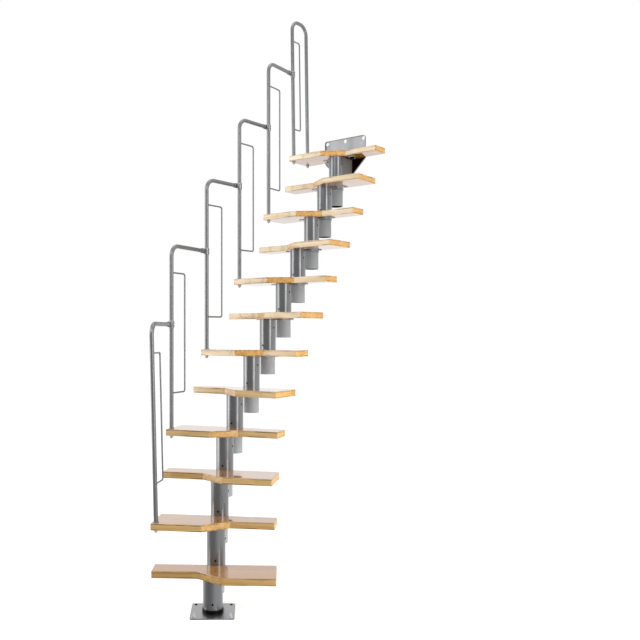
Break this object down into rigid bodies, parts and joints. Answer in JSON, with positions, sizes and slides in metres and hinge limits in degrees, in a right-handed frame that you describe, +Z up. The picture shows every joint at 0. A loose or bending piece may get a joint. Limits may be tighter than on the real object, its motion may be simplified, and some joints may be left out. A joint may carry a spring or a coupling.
{
  "type": "space-saving staircase",
  "caption": "Space-saving staircase with staggered beech paddle treads on a turning stack of steel column modules, with a bent-tube rail on one side, a base plate and a wall plate.",
  "frame": {"origin": "centre of the base plate's underside, on the axis of the foot column", "axes": "+Z up; +Y the way one walks on to the first tread; +X to the climber's right"},
  "size_m": [1.456, 1.816, 3.6784],
  "materials": {
    "spine_steel": "silver-grey powder coat, satin",
    "rail_steel": "grey powder coat, satin",
    "beech": "laminated beech, clear gloss lacquer",
    "black_ring": "black, satin"
  },
  "bodies": {
    "root": {"base_plate": "spine_steel", "foot_ring": "black_ring", "module_01": "spine_steel", "module_02": "spine_steel", "module_03": "spine_steel", "module_04": "spine_steel", "module_05": "spine_steel", "module_06": "spine_steel", "module_07": "spine_steel", "module_08": "spine_steel", "module_09": "spine_steel", "module_10": "spine_steel", "module_11": "spine_steel", "top_carrier": "spine_steel", "wall_plate": "spine_steel", "tread_01": "beech", "tread_02": "beech", "tread_03": "beech", "tread_04": "beech", "tread_05": "beech", "tread_06": "beech", "tread_07": "beech", "tread_08": "beech", "tread_09": "beech", "tread_10": "beech", "tread_11": "beech", "tread_12": "beech", "post_1": "rail_steel", "post_2": "rail_steel", "post_3": "rail_steel", "post_4": "rail_steel", "post_5": "rail_steel", "post_6": "rail_steel", "rod_1": "rail_steel", "rod_2": "rail_steel", "rod_3": "rail_steel", "rod_4": "rail_steel", "rod_5": "rail_steel", "rod_6": "rail_steel", "clamp_1": "rail_steel", "clamp_2": "rail_steel", "clamp_3": "rail_steel", "clamp_4": "rail_steel", "clamp_5": "rail_steel"}
  },
  "joints": []
}
